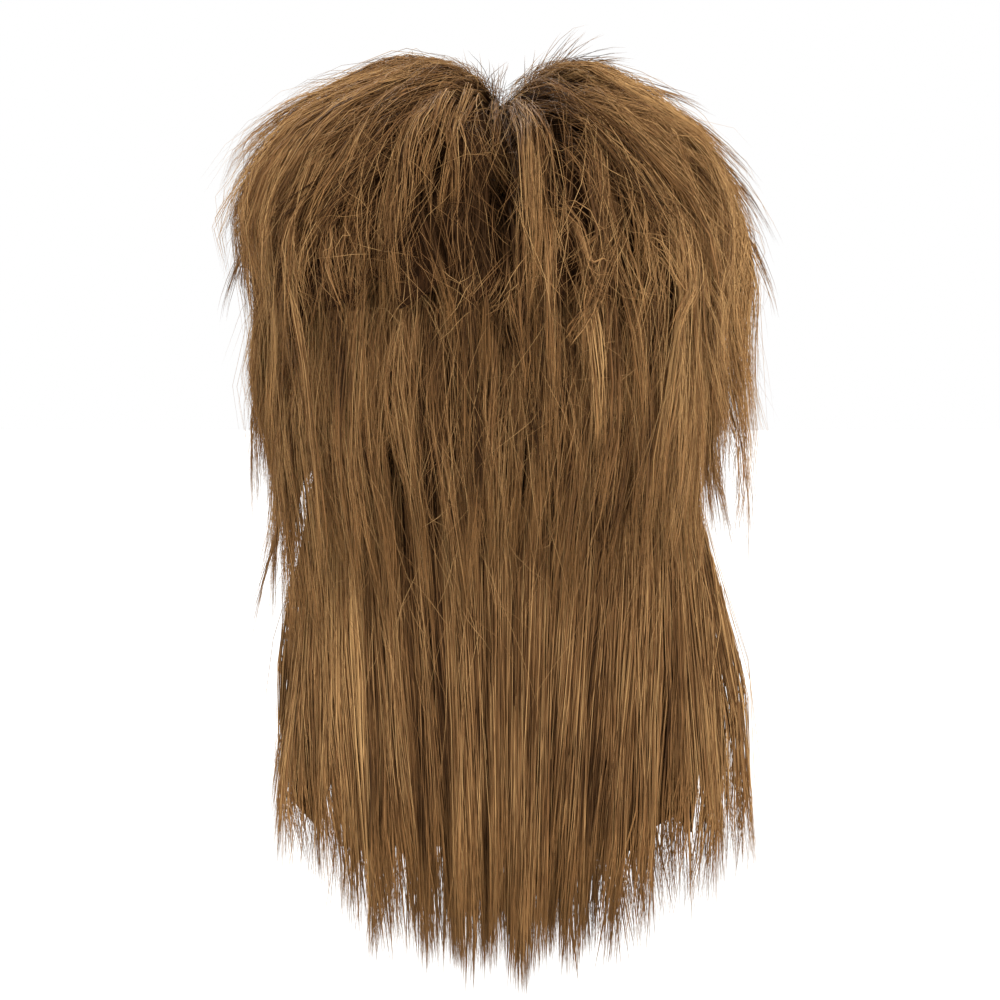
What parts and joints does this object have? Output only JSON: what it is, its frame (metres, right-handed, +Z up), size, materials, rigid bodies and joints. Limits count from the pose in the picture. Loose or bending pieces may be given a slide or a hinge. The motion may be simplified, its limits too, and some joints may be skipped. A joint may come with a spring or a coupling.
{
  "type": "mullet wig",
  "caption": "Layered mullet wig: teased spiky crown in two puffs, shaggy sides and a long straight ragged back, sewn to a thin open head cap.",
  "frame": {"origin": "top of the head, on the inside of the cap's crown", "axes": "+Z up, the wearer faces -Y, the long back hair is on the +Y side and +X is the wearer's left"},
  "size_m": [0.2893, 0.2921, 0.5002],
  "materials": {
    "cap_fabric": "matt elastic net with sewn wefts",
    "long_hair": "soft sheen, straight synthetic fibre, mid brown with lighter ends",
    "crown_hair": "soft sheen, teased synthetic fibre, dark brown in the partings and golden brown on top"
  },
  "bodies": {
    "root": {"wig_cap": "cap_fabric", "nape_layer": "long_hair", "middle_layer": "long_hair", "side_left": "long_hair", "side_right": "long_hair", "fringe": "long_hair", "crown_left": "crown_hair", "crown_right": "crown_hair"}
  },
  "joints": []
}
